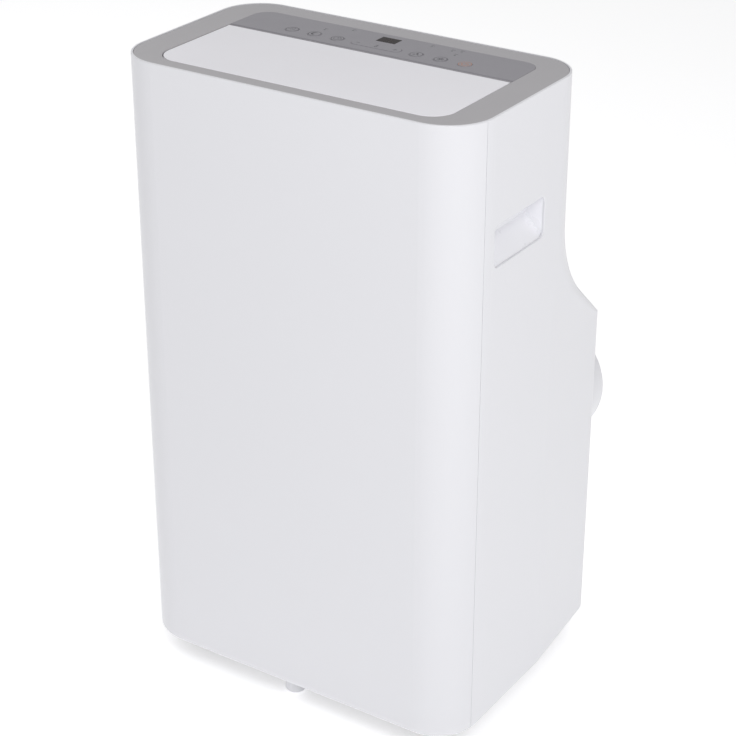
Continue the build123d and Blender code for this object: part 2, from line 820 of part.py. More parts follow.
with BuildPart() as key_temperature:
    rocker_bottom = shelf_bottom - key_flange
    slab("Z", (0, key_y), (rocker_length, rocker_width), rocker_bottom, key_top, rocker_width / 2 - 0.1)
    fillet(key_temperature.edges().group_by(Axis.Z)[-1], key_rounding)
    block(
        (-rocker_lug_half, rocker_lug_half),
        (key_y - rocker_width / 2, key_y + rocker_width / 2),
        (rocker_pivot - rocker_pin_radius - 1, rocker_bottom),
    )
    pin_reach = rocker_width / 2 + key_gap + rocker_lug
    rod("Y", (0, rocker_pivot), rocker_pin_radius, key_y - pin_reach, key_y + pin_reach)
    for i in (-1, 1):
        rod("Z", (i * rocker_switch_x, key_y), key_foot_radius, key_stop, rocker_bottom)
save(key_temperature.part, "key_temperature")

with BuildPart() as control_board:
    block(
        (-board_half_length, board_half_length),
        (panel_front + post_radius, panel_rear - post_radius),
        (board_top - board_thickness, board_top),
    )
    for x in key_places + [-rocker_switch_x, rocker_switch_x]:
        slab("Z", (x, key_y), (switch_size, switch_size), board_top, board_top + switch_height - 1)
        rod("Z", (x, key_y), switch_size / 3, board_top, board_top + switch_height)
    module_top = shelf_bottom - assembly_gap
    slab("Z", (0, display_y), (display_length + 6, display_width + 4), board_top, module_top)
    for x, y in lens_places:
        rod("Z", (x, panel_front + y), 1.5 * lens_radius, board_top, board_top + lens_lift - assembly_gap)
save(control_board.part, "control_board")

# ---------------------------------------------------------------- outlet duct and vanes
vane_places = [vane_pitch * (i - (vane_count - 1) / 2) for i in range(vane_count)]
crank_z = vane_z - crank_drop
duct_rear = front + duct_front + duct_length
duct_span = (front + duct_front, duct_rear)


def duct_form(margin):
    """The duct's solid form, straight and then tapering down to the blower, set in all round."""
    with BuildPart() as form:
        slab(
            "Z",
            (0, duct_y),
            (2 * (duct_half_width - margin), duct_length - 2 * margin),
            duct_top - duct_straight,
            duct_top + margin,
        )
        with BuildSketch(across("Z", duct_top - duct_straight)) as wide:
            with Locations((0, duct_y)):
                Rectangle(2 * (duct_half_width - margin), duct_length - 2 * margin)
        with BuildSketch(across("Z", duct_bottom - margin)) as narrow:
            with Locations((0, front + evaporator_volute_front + evaporator_width / 2)):
                Rectangle(outlet_width - 2 * margin, evaporator_width - 2 * margin)
        loft(sections=[wide.sketch, narrow.sketch], ruled=True)
    return form.part


with BuildPart() as outlet_duct:
    add(duct_form(0))
    tray(
        well_half_width + well_wall,
        (well_front - well_wall, well_rear + well_wall),
        (duct_top - duct_flange, duct_top),
        well_corner_radius + well_wall,
    )
    add(duct_form(duct_wall), mode=Mode.SUBTRACT)
    for x in vane_places:
        bearing = (duct_span[0] - 1, duct_span[1] + 1)
        rod("Y", (x, vane_z), vane_pin_radius + running, *bearing, mode=Mode.SUBTRACT)
save(outlet_duct.part, "outlet_duct")

for number, x in enumerate(vane_places, start=1):
    pin_front = duct_span[0] + assembly_gap
    if number == 1:
        pin_front -= vane_motor_length / 2
    with BuildPart() as vane:
        block(
            (x - vane_thickness / 2, x + vane_thickness / 2),
            (vane_front, vane_rear),
            (vane_z - vane_height / 2, vane_z + vane_height / 2),
        )
        fillet(vane.edges().filter_by(Axis.Y), vane_thickness / 2 - 0.1)
        rod("Y", (x, vane_z), vane_pin_radius + 1, vane_front, vane_rear)
        rod("Y", (x, vane_z), vane_pin_radius, pin_front, duct_span[1] - assembly_gap)
        rod("Y", (x, crank_z), crank_pin_radius + 1, vane_rear - 4, vane_rear)
        rod("Y", (x, crank_z), crank_pin_radius, vane_rear, link_front + link_thickness + link_gap / 2)
    save(vane.part, f"vane_{number}")

with BuildPart() as vane_link:
    slab(
        "Y",
        (0, crank_z),
        (vane_places[-1] - vane_places[0] + 4 * link_half_height, 2 * link_half_height),
        link_front,
        link_front + link_thickness,
        link_half_height - 0.1,
    )
    for x in vane_places:
        hole = crank_pin_radius + running
        rod("Y", (x, crank_z), hole, link_front - 1, link_front + link_thickness + 1, mode=Mode.SUBTRACT)
save(vane_link.part, "vane_link")

with BuildPart() as vane_motor:
    motor_face = duct_span[0] - assembly_gap
    rod("Y", (vane_places[0], vane_z), vane_motor_radius, motor_face - vane_motor_length, motor_face)
    slab("Y", (vane_places[0], vane_z), (3 * vane_motor_radius, 8), motor_face - 2, motor_face, 3)
    bore = (motor_face - vane_motor_length / 2 - 1, motor_face + 1)
    rod("Y", (vane_places[0], vane_z), vane_pin_radius + running, *bore, mode=Mode.SUBTRACT)
save(vane_motor.part, "vane_motor")


# ---------------------------------------------------------------- blowers
def scroll_part(plane, radii, outlet, inset, start, end):
    """A blower's scroll: quarter turns that widen, then a straight outlet up its left side."""
    east, south, west = radii[1] - inset, radii[2] - inset, radii[3] - inset
    north = radii[0] - inset
    right = -radii[3] + outlet_width - inset

    def halfway(one, other, across_sign, up_sign):
        reach = (one + other) / 2 / sqrt(2)
        return (across_sign * reach, up_sign * reach)

    with BuildPart() as piece:
        with BuildSketch(plane.offset(start)) as profile:
            with BuildLine():
                ThreePointArc((0, north), halfway(north, east, 1, 1), (east, 0))
                ThreePointArc((east, 0), halfway(east, south, 1, -1), (0, -south))
                ThreePointArc((0, -south), halfway(south, west, -1, -1), (-west, 0))
                Polyline((-west, 0), (-west, outlet), (right, outlet), (right, north), (0, north))
            make_face()
        extrude(profile.sketch, amount=end - start)
    return piece.part


def blower_blades(plane, radius, start, end):
    """The ring of blades of a forward-curved wheel."""
    with BuildSketch(plane.offset(start)) as blades:
        with PolarLocations(radius - blade_depth / 2, blade_count):
            Rectangle(blade_depth, blade_thickness, rotation=blade_angle)
    extrude(blades.sketch, amount=end - start)


def disc_on(plane, radius, start, end, mode=Mode.ADD):
    """A disc about the blower's axis, between two distances along it."""
    with BuildSketch(plane.offset(start)) as profile:
        Circle(radius)
    extrude(profile.sketch, amount=end - start, mode=mode)


def blower(name, plane, radii, radius, wheel_width, outlet, collar=None):
    """A scroll, its wheel and its motor, on a plane at the intake side that faces the motor."""
    length = wheel_width + 2 * wheel_gap + 2 * volute_wall
    with BuildPart() as volute:
        add(scroll_part(plane, radii, outlet, 0, 0, length))
        add(
            scroll_part(plane, radii, outlet + 5, volute_wall, volute_wall, length - volute_wall),
            mode=Mode.SUBTRACT,
        )
        disc_on(plane, radius - blade_depth / 2, -1, volute_wall + 1, mode=Mode.SUBTRACT)
        disc_on(plane, 3 * shaft_radius, length - volute_wall - 1, length + 1, mode=Mode.SUBTRACT)
        if collar:
            add(collar)
    save(volute.part, f"{name}_volute")

    first = volute_wall + wheel_gap
    last = first + wheel_width
    with BuildPart() as wheel:
        blower_blades(plane, radius, first, last)
        disc_on(plane, radius, last - 2 * volute_wall, last)
        disc_on(plane, radius, first, first + volute_wall)
        disc_on(plane, radius - blade_depth, first - 1, first + 2 * volute_wall, mode=Mode.SUBTRACT)
        disc_on(plane, 3 * shaft_radius, last - 4 * shaft_radius, last)
        disc_on(plane, shaft_radius, last, length + motor_length / 2)
    save(wheel.part, f"{name}_wheel")

    base = length + assembly_gap
    with BuildPart() as motor:
        disc_on(plane, motor_radius, base, base + motor_length)
        fillet(motor.edges(), motor_rounding)
        with BuildSketch(plane.offset(base)) as feet:
            with PolarLocations(motor_radius + 4, 3):
                Circle(8)
        extrude(feet.sketch, amount=volute_wall)
        disc_on(plane, shaft_radius + running, base - 1, base + motor_length / 2 + 1, mode=Mode.SUBTRACT)
    save(motor.part, f"{name}_motor")


evaporator_plane = Plane(
    origin=(evaporator_blower_x, front + evaporator_volute_front + evaporator_width, evaporator_blower_height),
    x_dir=(1, 0, 0),
    z_dir=(0, -1, 0),
)
blower(
    "evaporator",
    evaporator_plane,
    scroll,
    evaporator_wheel_radius,
    evaporator_wheel_width,
    duct_bottom - assembly_gap - evaporator_blower_height,
)

condenser_plane = Plane(
    origin=(condenser_volute_left, front + condenser_blower_y, condenser_blower_z),
    x_dir=(0, 0, -1),
    z_dir=(1, 0, 0),
)
neck_end = rear - spigot_neck - assembly_gap
with BuildPart() as neck_plate:
    rod("Y", (spigot_x, spigot_height), spigot_radius, neck_end - volute_wall, neck_end)
    mouth = (condenser_width - 2 * volute_wall, outlet_width - 2 * volute_wall)
    middle_x = condenser_volute_left + condenser_width / 2
    slab("Y", (middle_x, spigot_height), mouth, neck_end - 10, neck_end + 1, mode=Mode.SUBTRACT)
blower(
    "condenser",
    condenser_plane,
    condenser_scroll,
    condenser_wheel_radius,
    condenser_wheel_width,
    neck_end - volute_wall / 2 - front - condenser_blower_y,
    neck_plate.part,
)

# ---------------------------------------------------------------- base pan, casters and foot
pan_inset = wall + pan_gap
pan_bottom = ground_clearance + bottom_rounding
pan_floor_top = pan_floor + pan_wall
caster_places = {
    "front_left": (-caster_x, front + caster_set_in),
    "front_right": (caster_x, front + caster_set_in),
    "rear_left": (-caster_x, rear - caster_set_in),
    "rear_right": (caster_x, rear - caster_set_in),
}
compressor = (compressor_x, front + compressor_y)
stud_places = [
    (
        compressor[0] + compressor_feet * cos(radians(angle)),
        compressor[1] + compressor_feet * sin(radians(angle)),
    )
    for angle in (90, 210, 330)
]
boss_bottom = stem_foot + caster_gap
boss_top = stem_foot + stem_length + assembly_gap

with BuildPart() as base_pan:
    add(level_slice(pan_inset, pan_bottom, pan_rim))
    add(level_slice(pan_inset + pan_wall, pan_bottom - 1, pan_floor), mode=Mode.SUBTRACT)
    add(level_slice(pan_inset + pan_wall, pan_floor_top, pan_rim + 1), mode=Mode.SUBTRACT)
    for x, y in caster_places.values():
        rod("Z", (x, y), stem_radius + boss_wall, boss_bottom, boss_top)
    for x, y in caster_places.values():
        rod("Z", (x, y), stem_radius + running, boss_bottom - 1, boss_top + 1, mode=Mode.SUBTRACT)
    for x, y in stud_places:
        rod("Z", (x, y), stud_radius, pan_floor, pan_floor_top + grommet_rise + foot_plate + stud_radius)
    for x, z, face in screw_places[2:]:
        block(
            (x - screw_boss / 2, x + screw_boss / 2),
            (face - pan_inset - screw_length, face - pan_inset - pan_wall / 2),
            (pan_floor, pan_rim),
        )
        rod("Y", (x, z), screw_radius + screw_fit, face - screw_length - 2, face, mode=Mode.SUBTRACT)
save(base_pan.part, "base_pan")

with BuildPart() as front_foot:
    foot_place = (foot_x, front + foot_set_in)
    rod("Z", foot_place, foot_radius, foot_lift, ground_clearance + wall)
    fillet(front_foot.edges().group_by(Axis.Z)[0], foot_radius / 3)
    rod("Z", foot_place, foot_radius / 2, foot_lift + foot_radius, pan_floor)
save(front_foot.part, "front_foot")


def caster_fork(x, y):
    """A swivel fork: a stem, a bridge and two cheeks, with the axle fixed between them."""
    axle = (y + caster_trail, wheel_radius)
    cheek_inner = wheel_width / 2 + wheel_side_gap
    cheek_outer = cheek_inner + fork_plate
    bridge_bottom = stem_foot - fork_height
    with BuildPart() as fork:
        rod("Z", (x, y), stem_radius, stem_foot - 1, stem_foot + stem_length)
        with BuildSketch(across("X", x - cheek_outer)) as cheek:
            with BuildLine():
                Polyline(
                    (y - stem_radius - boss_wall, stem_foot),
                    (y + caster_trail + 2 * axle_radius, stem_foot),
                    (y + caster_trail + 2 * axle_radius, wheel_radius),
                    (y + caster_trail - 2 * axle_radius, wheel_radius),
                    (y - stem_radius - boss_wall, bridge_bottom),
                    close=True,
                )
            make_face()
            with Locations(axle):
                Circle(2 * axle_radius)
        extrude(cheek.sketch, amount=2 * cheek_outer)
        fillet(fork.edges().filter_by(Axis.X).group_by(Axis.Z)[-1], 1.5)
        block((x - cheek_inner, x + cheek_inner), (y - 60, y + 60), (0, bridge_bottom), mode=Mode.SUBTRACT)
        rod("X", axle, axle_radius, x - cheek_outer, x + cheek_outer)
    return fork.part


def caster_wheel(x, y):
    """A wheel with a rounded tread and a dished hub, its bore running on the axle."""
    axle = (y + caster_trail, wheel_radius)
    left, right = x - wheel_width / 2, x + wheel_width / 2
    with BuildPart() as wheel:
        rod("X", axle, wheel_radius, left, right)
        fillet(wheel.edges(), wheel_rounding)
        rod("X", axle, wheel_radius - wheel_tread, left, left + wheel_dish, mode=Mode.SUBTRACT)
        rod("X", axle, wheel_radius - wheel_tread, right - wheel_dish, right, mode=Mode.SUBTRACT)
        rod("X", axle, 2 * axle_radius, left, right)
        rod("X", axle, axle_radius + running, left - 1, right + 1, mode=Mode.SUBTRACT)
    return wheel.part


for corner, (x, y) in caster_places.items():
    save(caster_fork(x, y), f"caster_fork_{corner}")
    save(caster_wheel(x, y), f"caster_wheel_{corner}")

# ---------------------------------------------------------------- middle deck
deck_inset = wall + pan_gap
deck_floor_top = deck_height + pan_wall
pipe_bore = pipe_radius + 2
deck_pipes = [(liquid_x, front + pipe_y), (suction_x, front + pipe_y)]
with BuildPart() as deck_hollow:
    add(level_slice(deck_inset + pan_wall, deck_floor_top, deck_height + deck_rim + 1))
    block(
        (-width, width),
        (front, front + deck_length - pan_wall),
        (deck_height, height),
        mode=Mode.INTERSECT,
    )
with BuildPart() as middle_deck:
    add(level_slice(deck_inset, deck_height, deck_height + deck_rim))
    block((-width, width), (front, front + deck_length), (deck_height, height), mode=Mode.INTERSECT)
    add(deck_hollow.part, mode=Mode.SUBTRACT)
    for place in deck_pipes:
        rod("Z", place, pipe_bore + pan_wall, deck_floor_top - 1, deck_height + deck_rim / 2)
        rod("Z", place, pipe_bore, deck_height - 1, deck_height + deck_rim, mode=Mode.SUBTRACT)
save(middle_deck.part, "middle_deck")


# ---------------------------------------------------------------- coils
def coil(left, right, y, z, floor):
    """A finned coil: a block of fins between end plates, and tubes that turn back outside them."""
    middle = sum(y) / 2
    rows = int((z[1] - z[0]) / coil_tube_pitch / 2) * 2
    first = (z[0] + z[1] - (rows - 1) * coil_tube_pitch) / 2
    heights = [first + row * coil_tube_pitch for row in range(rows)]
    with BuildPart() as piece:
        block((left, right), y, z)
        block((left - end_plate, left), y, (floor, z[1]))
        block((right, right + end_plate), y, (floor, z[1]))
        for side, edge, skip in ((-1, left - end_plate, 1), (1, right + end_plate, 0)):
            for height_here in heights[skip:-1:2]:
                axis_z = height_here + coil_tube_pitch / 2
                with BuildSketch(across("X", edge)) as tube:
                    with Locations((middle, height_here)):
                        Circle(coil_tube_radius)
                turn = Axis((edge, middle, axis_z), (0, side, 0))
                revolve(tube.sketch, axis=turn, revolution_arc=180)
    return piece.part


evaporator_y = (front + evaporator_front, front + evaporator_front + evaporator_thickness)
evaporator_z = (deck_floor_top + coil_lift, deck_floor_top + coil_lift + evaporator_rise)
condenser_y = (front + condenser_front, front + condenser_front + condenser_thickness)
condenser_z = (pan_floor_top + coil_lift, pan_floor_top + coil_lift + condenser_rise)
save(coil(evaporator_left, evaporator_right, evaporator_y, evaporator_z, deck_floor_top), "evaporator_coil")
save(coil(condenser_left, condenser_right, condenser_y, condenser_z, pan_floor_top), "condenser_coil")

# ---------------------------------------------------------------- compressor, its mounts and the pipes
foot_plate_bottom = pan_floor_top + grommet_rise
shell_bottom = foot_plate_bottom + foot_plate
accumulator = (compressor[0] + compressor_radius + accumulator_radius + 4, compressor[1])
accumulator_z = (shell_bottom + 30, shell_bottom + 30 + accumulator_rise)
with BuildPart() as compressor_unit:
    rod("Z", compressor, compressor_radius, shell_bottom, compressor_top)
    fillet(compressor_unit.edges(), compressor_dome)
    with BuildSketch(across("Z", foot_plate_bottom)) as feet:
        with Locations(compressor):
            Circle(compressor_radius * 0.8)
            for angle in (90, 210, 330):
                with PolarLocations(compressor_feet / 2, 1, start_angle=angle):
                    Rectangle(compressor_feet, 2 * grommet_radius)
        with Locations(*stud_places):
            Circle(grommet_radius)
        with Locations(*stud_places):
            Circle(stud_radius + 0.6, mode=Mode.SUBTRACT)
    extrude(feet.sketch, amount=foot_plate)
    rod("Z", compressor, compressor_radius / 2, foot_plate_bottom, shell_bottom + compressor_dome)
    rod("Z", accumulator, accumulator_radius, *accumulator_z)
    rims = compressor_unit.edges().filter_by(GeomType.CIRCLE)
    fillet(rims.filter_by(lambda edge: abs(edge.arc_center.X - accumulator[0]) < 0.01), accumulator_radius / 2)
    band = sum(accumulator_z) / 2
    block((compressor[0], accumulator[0]), (compressor[1] - 4, compressor[1] + 4), (band - 9, band + 9))
    rod("Z", (compressor[0], compressor[1] - 26), 12, compressor_top - 8, compressor_top + 8)
save(compressor_unit.part, "compressor")

with BuildPart() as compressor_grommets:
    for place in stud_places:
        rod("Z", place, grommet_radius, pan_floor_top, foot_plate_bottom)
        rod("Z", place, grommet_radius - 2, pan_floor_top + 4, foot_plate_bottom - 4)
        rod("Z", place, stud_radius, pan_floor_top - 1, foot_plate_bottom + 1, mode=Mode.SUBTRACT)
save(compressor_grommets.part, "compressor_grommets")


def pipe(points):
    """One pipe along straight runs with rounded corners."""
    first, second = Vector(*points[0]), Vector(*points[1])
    with BuildPart() as tube:
        with BuildLine() as route:
            FilletPolyline(*points, radius=pipe_bend)
        with BuildSketch(Plane(origin=first, z_dir=second - first)) as section:
            Circle(pipe_radius)
        sweep(section.sketch, path=route.line)
    return tube.part


lane = front + pipe_y
discharge_x = compressor[0] + 22
with BuildPart() as refrigerant_pipes:
    add(
        pipe(
            [
                (discharge_x, compressor[1], compressor_top),
                (discharge_x, compressor[1], compressor_top + 18),
                (discharge_x, lane, compressor_top + 18),
                (discharge_x, lane, condenser_z[1] - 12),
                (discharge_x, condenser_y[0], condenser_z[1] - 12),
            ]
        )
    )
    add(
        pipe(
            [
                (liquid_x, condenser_y[0], condenser_z[0] + 20),
                (liquid_x, lane, condenser_z[0] + 20),
                (liquid_x, lane, evaporator_z[0] + 20),
                (liquid_x, evaporator_y[1], evaporator_z[0] + 20),
            ]
        )
    )
    add(
        pipe(
            [
                (suction_x, evaporator_y[1], evaporator_z[0] + 60),
                (suction_x, lane, evaporator_z[0] + 60),
                (suction_x, lane, compressor_top - 16),
                (accumulator[0], lane, compressor_top - 16),
                (accumulator[0], accumulator[1], compressor_top - 16),
                (accumulator[0], accumulator[1], accumulator_z[1]),
            ]
        )
    )
save(refrigerant_pipes.part, "refrigerant_pipes")

# ---------------------------------------------------------------- electric box
box_y = (front + box_front, front + box_front + box_depth)
box_z = (box_floor, box_floor + box_rise)
with BuildPart() as electric_box:
    block((box_left, box_right), box_y, box_z)
    block(
        (box_left + box_wall, box_right - box_wall),
        (box_y[0] - 1, box_y[1] - box_wall),
        (box_z[0] + box_wall, box_z[1] - box_wall),
        mode=Mode.SUBTRACT,
    )
    for x in (box_left + 2 * box_tab, box_right - 2 * box_tab):
        block((x - box_tab, x + box_tab), (box_y[1] - 2 * box_wall, box_y[1]), (box_z[1], deck_height))
    for x in board_posts:
        for z in (box_z[0] + 18, box_z[1] - 18):
            rod("Y", (x, z), post_radius, box_y[1] - box_wall - board_lift, box_y[1] - box_wall / 2)
save(electric_box.part, "electric_box")

with BuildPart() as electric_box_lid:
    lid_y = (box_y[0] - box_wall, box_y[0])
    block((box_left, box_right), lid_y, box_z)
    rim_outer = box_wall + assembly_gap
    block(
        (box_left + rim_outer, box_right - rim_outer),
        (box_y[0], box_y[0] + 3 * box_wall),
        (box_z[0] + rim_outer, box_z[1] - rim_outer),
    )
    block(
        (box_left + rim_outer + box_wall, box_right - rim_outer - box_wall),
        (box_y[0], box_y[0] + 4 * box_wall),
        (box_z[0] + rim_outer + box_wall, box_z[1] - rim_outer - box_wall),
        mode=Mode.SUBTRACT,
    )
save(electric_box_lid.part, "electric_box_lid")

with BuildPart() as main_board:
    board_back = box_y[1] - box_wall - board_lift
    board_front = board_back - board_thickness
    middle = (box_left + box_right) / 2
    block((box_left + 10, box_right - 10), (board_front, board_back), (box_z[0] + 10, box_z[1] - 10))
    for x in (-58, -42):
        rod("Y", (middle + x, box_z[0] + 34), 7, board_front - 20, board_front)
    for x in (-20, 0, 20):
        block(
            (middle + x - 8, middle + x + 8),
            (board_front - 15, board_front),
            (box_z[0] + 24, box_z[0] + 40),
        )
    block((middle + 36, middle + 62), (board_front - 18, board_front), (box_z[0] + 24, box_z[0] + 50))
    block((middle - 60, middle + 10), (board_front - 10, board_front), (box_z[1] - 26, box_z[1] - 16))
    block((middle + 26, middle + 60), (board_front - 4, board_front), (box_z[1] - 34, box_z[1] - 22))
save(main_board.part, "main_board")
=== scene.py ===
import math

import bmesh
import bpy
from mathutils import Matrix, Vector


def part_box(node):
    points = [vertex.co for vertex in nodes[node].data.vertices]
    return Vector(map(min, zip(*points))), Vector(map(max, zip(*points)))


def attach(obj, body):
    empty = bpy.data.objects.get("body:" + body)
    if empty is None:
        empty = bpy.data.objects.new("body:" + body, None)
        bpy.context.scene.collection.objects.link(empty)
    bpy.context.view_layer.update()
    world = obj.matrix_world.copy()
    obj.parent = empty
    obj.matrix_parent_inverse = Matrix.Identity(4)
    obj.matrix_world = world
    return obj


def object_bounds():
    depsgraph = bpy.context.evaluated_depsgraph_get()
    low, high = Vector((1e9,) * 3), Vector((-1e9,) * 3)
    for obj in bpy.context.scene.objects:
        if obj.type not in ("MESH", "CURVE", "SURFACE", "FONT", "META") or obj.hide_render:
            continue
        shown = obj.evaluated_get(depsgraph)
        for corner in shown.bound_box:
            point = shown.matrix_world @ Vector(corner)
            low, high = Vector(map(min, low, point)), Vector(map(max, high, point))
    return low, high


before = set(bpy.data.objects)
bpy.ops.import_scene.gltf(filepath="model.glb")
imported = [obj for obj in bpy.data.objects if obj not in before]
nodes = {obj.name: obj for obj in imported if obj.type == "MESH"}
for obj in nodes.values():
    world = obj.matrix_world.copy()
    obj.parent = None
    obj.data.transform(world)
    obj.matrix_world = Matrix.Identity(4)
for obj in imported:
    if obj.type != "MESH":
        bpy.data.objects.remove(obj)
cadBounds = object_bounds()
print("frame loaded:", len(nodes), "nodes")

mm = 0.001


# colours and shader nodes
def toLinear(hexColour):
    channels = [int(hexColour[i:i + 2], 16) / 255 for i in (1, 3, 5)]
    linear = [c / 12.92 if c <= 0.04045 else ((c + 0.055) / 1.055) ** 2.4 for c in channels]
    return (*linear, 1.0)


def addNode(tree, kind, settings=None, links=None):
    node = tree.nodes.new(kind)
    for name, value in (settings or {}).items():
        if isinstance(name, int) or name in node.inputs:
            node.inputs[name].default_value = value
        else:
            setattr(node, name, value)
    for name, source in (links or {}).items():
        tree.links.new(source, node.inputs[name])
    return node


def newMaterial(name, settings):
    material = bpy.data.materials.new(name)
    material.use_nodes = True
    shader = material.node_tree.nodes["Principled BSDF"]
    for socket, value in settings.items():
        shader.inputs[socket].default_value = value
    return material, material.node_tree, shader


def surfacePoint(tree):
    return addNode(tree, "ShaderNodeTexCoord").outputs["Object"]


def addNoise(tree, point, size, detail):
    settings = {"Scale": 1 / (size * mm), "Detail": detail}
    return addNode(tree, "ShaderNodeTexNoise", settings, {"Vector": point})


def blendTones(tree, shader, amount, values):
    mix = addNode(tree, "ShaderNodeMix", {"data_type": "RGBA"}, {"Factor": amount})
    mix.inputs[6].default_value = toLinear(values["light"])
    mix.inputs[7].default_value = toLinear(values["dark"])
    tree.links.new(mix.outputs[2], shader.inputs["Base Color"])


def spreadRoughness(tree, shader, amount, values, lowest=0.0, highest=1.0):
    spread = addNode(
        tree,
        "ShaderNodeMapRange",
        {"From Min": lowest, "From Max": highest, "To Min": values["smooth"], "To Max": values["rough"]},
        {"Value": amount},
    )
    tree.links.new(spread.outputs["Result"], shader.inputs["Roughness"])


def raiseRelief(tree, shader, height, depth, strength=1.0):
    bump = addNode(tree, "ShaderNodeBump", {"Strength": strength, "Distance": depth * mm}, {"Height": height})
    tree.links.new(bump.outputs["Normal"], shader.inputs["Normal"])


def addGrain(tree, shader, point, values):
    # a fine relief, its grains about grain mm across and depth mm deep
    noise = addNoise(tree, point, values["grain"], 2.0)
    raiseRelief(tree, shader, noise.outputs["Fac"], values["depth"])


def addTone(tree, shader, point, values):
    # slow drift between two near colours, about cloud mm across
    noise = addNoise(tree, point, values["cloud"], 3.0)
    blendTones(tree, shader, noise.outputs["Fac"], values)


def addSheenDrift(tree, shader, point, values):
    # handling and moulding leave the gloss a little uneven, in patches about patch mm across;
    # the noise hardly leaves the range between its usual lowest and highest value
    noise = addNoise(tree, point, values["patch"], 4.0)
    spreadRoughness(tree, shader, noise.outputs["Fac"], values, lowest=0.3, highest=0.7)


def paintedPart(name, values, settings):
    material, tree, shader = newMaterial(name, settings)
    point = surfacePoint(tree)
    addTone(tree, shader, point, values)
    addSheenDrift(tree, shader, point, values)
    if "grain" in values:
        addGrain(tree, shader, point, values)
    return material


def mouldedPlastic(name, values):
    return paintedPart(name, values, {"IOR": values["ior"]})


# ABS moulded against a polished tool: white, glossy, with the faint orange peel of a large panel
casingAbs = mouldedPlastic(
    "casingAbs",
    {
        "light": "#E2E2E6", "dark": "#E1E1E5", "cloud": 180.0, "ior": 1.54,
        "smooth": 0.28, "rough": 0.30, "patch": 120.0, "grain": 4.0, "depth": 0.0012,
    },
)
# the same ABS as a flatter, satin panel: the flap
flapAbs = mouldedPlastic(
    "flapAbs",
    {
        "light": "#EFEEF3", "dark": "#EDECF1", "cloud": 120.0, "ior": 1.54,
        "smooth": 0.32, "rough": 0.38, "patch": 45.0, "grain": 1.2, "depth": 0.003,
    },
)
# the handle cups get a brighter copy of the casing ABS: painted light, standing in for the light that bounces
# into the recess
handlePaintedLightAbs = mouldedPlastic(
    "handlePaintedLightAbs",
    {
        "light": "#F7F7FB", "dark": "#F4F4F8", "cloud": 60.0, "ior": 1.54,
        "smooth": 0.26, "rough": 0.33, "patch": 20.0, "grain": 3.0, "depth": 0.0012,
    },
)
# ABS with a silver-grey pigment and a spark-eroded satin texture: the top frame
frameAbs = mouldedPlastic(
    "frameAbs",
    {
        "light": "#AFADB0", "dark": "#ABA9AC", "cloud": 90.0, "ior": 1.54,
        "smooth": 0.40, "rough": 0.48, "patch": 30.0, "grain": 0.8, "depth": 0.012,
    },
)
# polycarbonate film, printed on its back and hard-coated: the control panel
panelFilm = mouldedPlastic(
    "panelFilm",
    {
        "light": "#939197", "dark": "#8F8D93", "cloud": 70.0, "ior": 1.58,
        "smooth": 0.36, "rough": 0.44, "patch": 25.0, "grain": 0.6, "depth": 0.004,
    },
)
# unfilled nylon: dark, slightly waxy, with the tool's fine matte
blackNylon = mouldedPlastic(
    "blackNylon",
    {
        "light": "#1E1E20", "dark": "#18181A", "cloud": 25.0, "ior": 1.53,
        "smooth": 0.42, "rough": 0.55, "patch": 12.0, "grain": 0.5, "depth": 0.015,
    },
)
# grey nylon for what carries load under the casing
greyNylon = mouldedPlastic(
    "greyNylon",
    {
        "light": "#A6A6A9", "dark": "#9D9DA0", "cloud": 40.0, "ior": 1.53,
        "smooth": 0.42, "rough": 0.52, "patch": 15.0, "grain": 0.6, "depth": 0.015,
    },
)
# natural polypropylene: milky and a little greasy to the eye
milkyPolypropylene = mouldedPlastic(
    "milkyPolypropylene",
    {
        "light": "#DEDFE0", "dark": "#D4D5D7", "cloud": 60.0, "ior": 1.49,
        "smooth": 0.38, "rough": 0.5, "patch": 30.0, "grain": 0.7, "depth": 0.012,
    },
)
# EPDM rubber: black, dull, with talc in its grain
epdmRubber = mouldedPlastic(
    "epdmRubber",
    {
        "light": "#232324", "dark": "#1A1A1B", "cloud": 8.0, "ior": 1.52,
        "smooth": 0.68, "rough": 0.82, "patch": 4.0, "grain": 0.35, "depth": 0.03,
    },
)
# polypropylene filter frame, charcoal
filterPolypropylene = mouldedPlastic(
    "filterPolypropylene",
    {
        "light": "#3B3F45", "dark": "#33373C", "cloud": 30.0, "ior": 1.49,
        "smooth": 0.45, "rough": 0.56, "patch": 10.0, "grain": 0.5, "depth": 0.012,
    },
)


def beadedFoam(name, values):
    # expanded polystyrene: white beads pressed together, each with a shallow edge
    material, tree, shader = newMaterial(name, {"Roughness": values["roughness"], "IOR": 1.5})
    point = surfacePoint(tree)
    addTone(tree, shader, point, values)
    cells = addNode(
        tree,
        "ShaderNodeTexVoronoi",
        {"feature": "DISTANCE_TO_EDGE", "Scale": 1 / (values["bead"] * mm)},
        {"Vector": point},
    )
    raiseRelief(tree, shader, cells.outputs["Distance"], values["depth"], 0.8)
    return material


polystyreneFoam = beadedFoam(
    "polystyreneFoam",
    {"light": "#ECECE8", "dark": "#E2E2DD", "cloud": 20.0, "bead": 3.0, "depth": 0.15, "roughness": 0.85},
)


def galvanisedSheet(name, values):
    # zinc-coated sheet: cool grey metal with the frost-like spangle of the zinc
    material, tree, shader = newMaterial(name, {"Metallic": 1.0})
    point = surfacePoint(tree)
    cells = addNode(tree, "ShaderNodeTexVoronoi", {"Scale": 1 / (values["spangle"] * mm)}, {"Vector": point})
    blendTones(tree, shader, cells.outputs["Color"], values)
    spreadRoughness(tree, shader, cells.outputs["Distance"], values)
    addGrain(tree, shader, point, values)
    return material


zincSteel = galvanisedSheet(
    "zincSteel",
    {
        "light": "#B4B7BA", "dark": "#9FA3A7", "spangle": 7.0,
        "smooth": 0.30, "rough": 0.42, "grain": 0.5, "depth": 0.008,
    },
)
